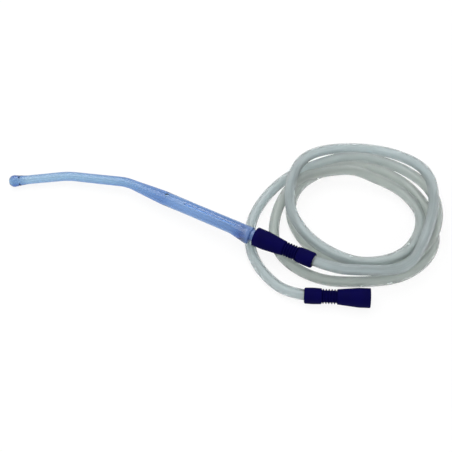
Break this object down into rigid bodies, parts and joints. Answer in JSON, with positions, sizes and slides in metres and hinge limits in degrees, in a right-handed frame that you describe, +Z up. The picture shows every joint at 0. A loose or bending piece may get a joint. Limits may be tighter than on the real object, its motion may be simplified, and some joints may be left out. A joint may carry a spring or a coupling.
{
  "type": "yankauer suction set",
  "caption": "Rigid bent suction wand with a bulb tip and vented grip, joined by a ribbed funnel connector to a loose coil of soft hose that ends in a like connector.",
  "frame": {"origin": "under the middle of the wand's box, on the table that the set lies on", "axes": "+X along the wand's length from the bulb towards the hose, +Z up from the table, +Y across the wand, towards the outside of its bends"},
  "size_m": [0.4164, 0.1909, 0.0323],
  "materials": {
    "wand": "clear blue tinted rigid plastic",
    "connector": "satin navy soft plastic",
    "hose": "milky grey-green soft clear plastic"
  },
  "bodies": {
    "root": {"wand": "wand", "wand_connector": "connector", "hose": "hose", "pump_connector": "connector"}
  },
  "joints": []
}
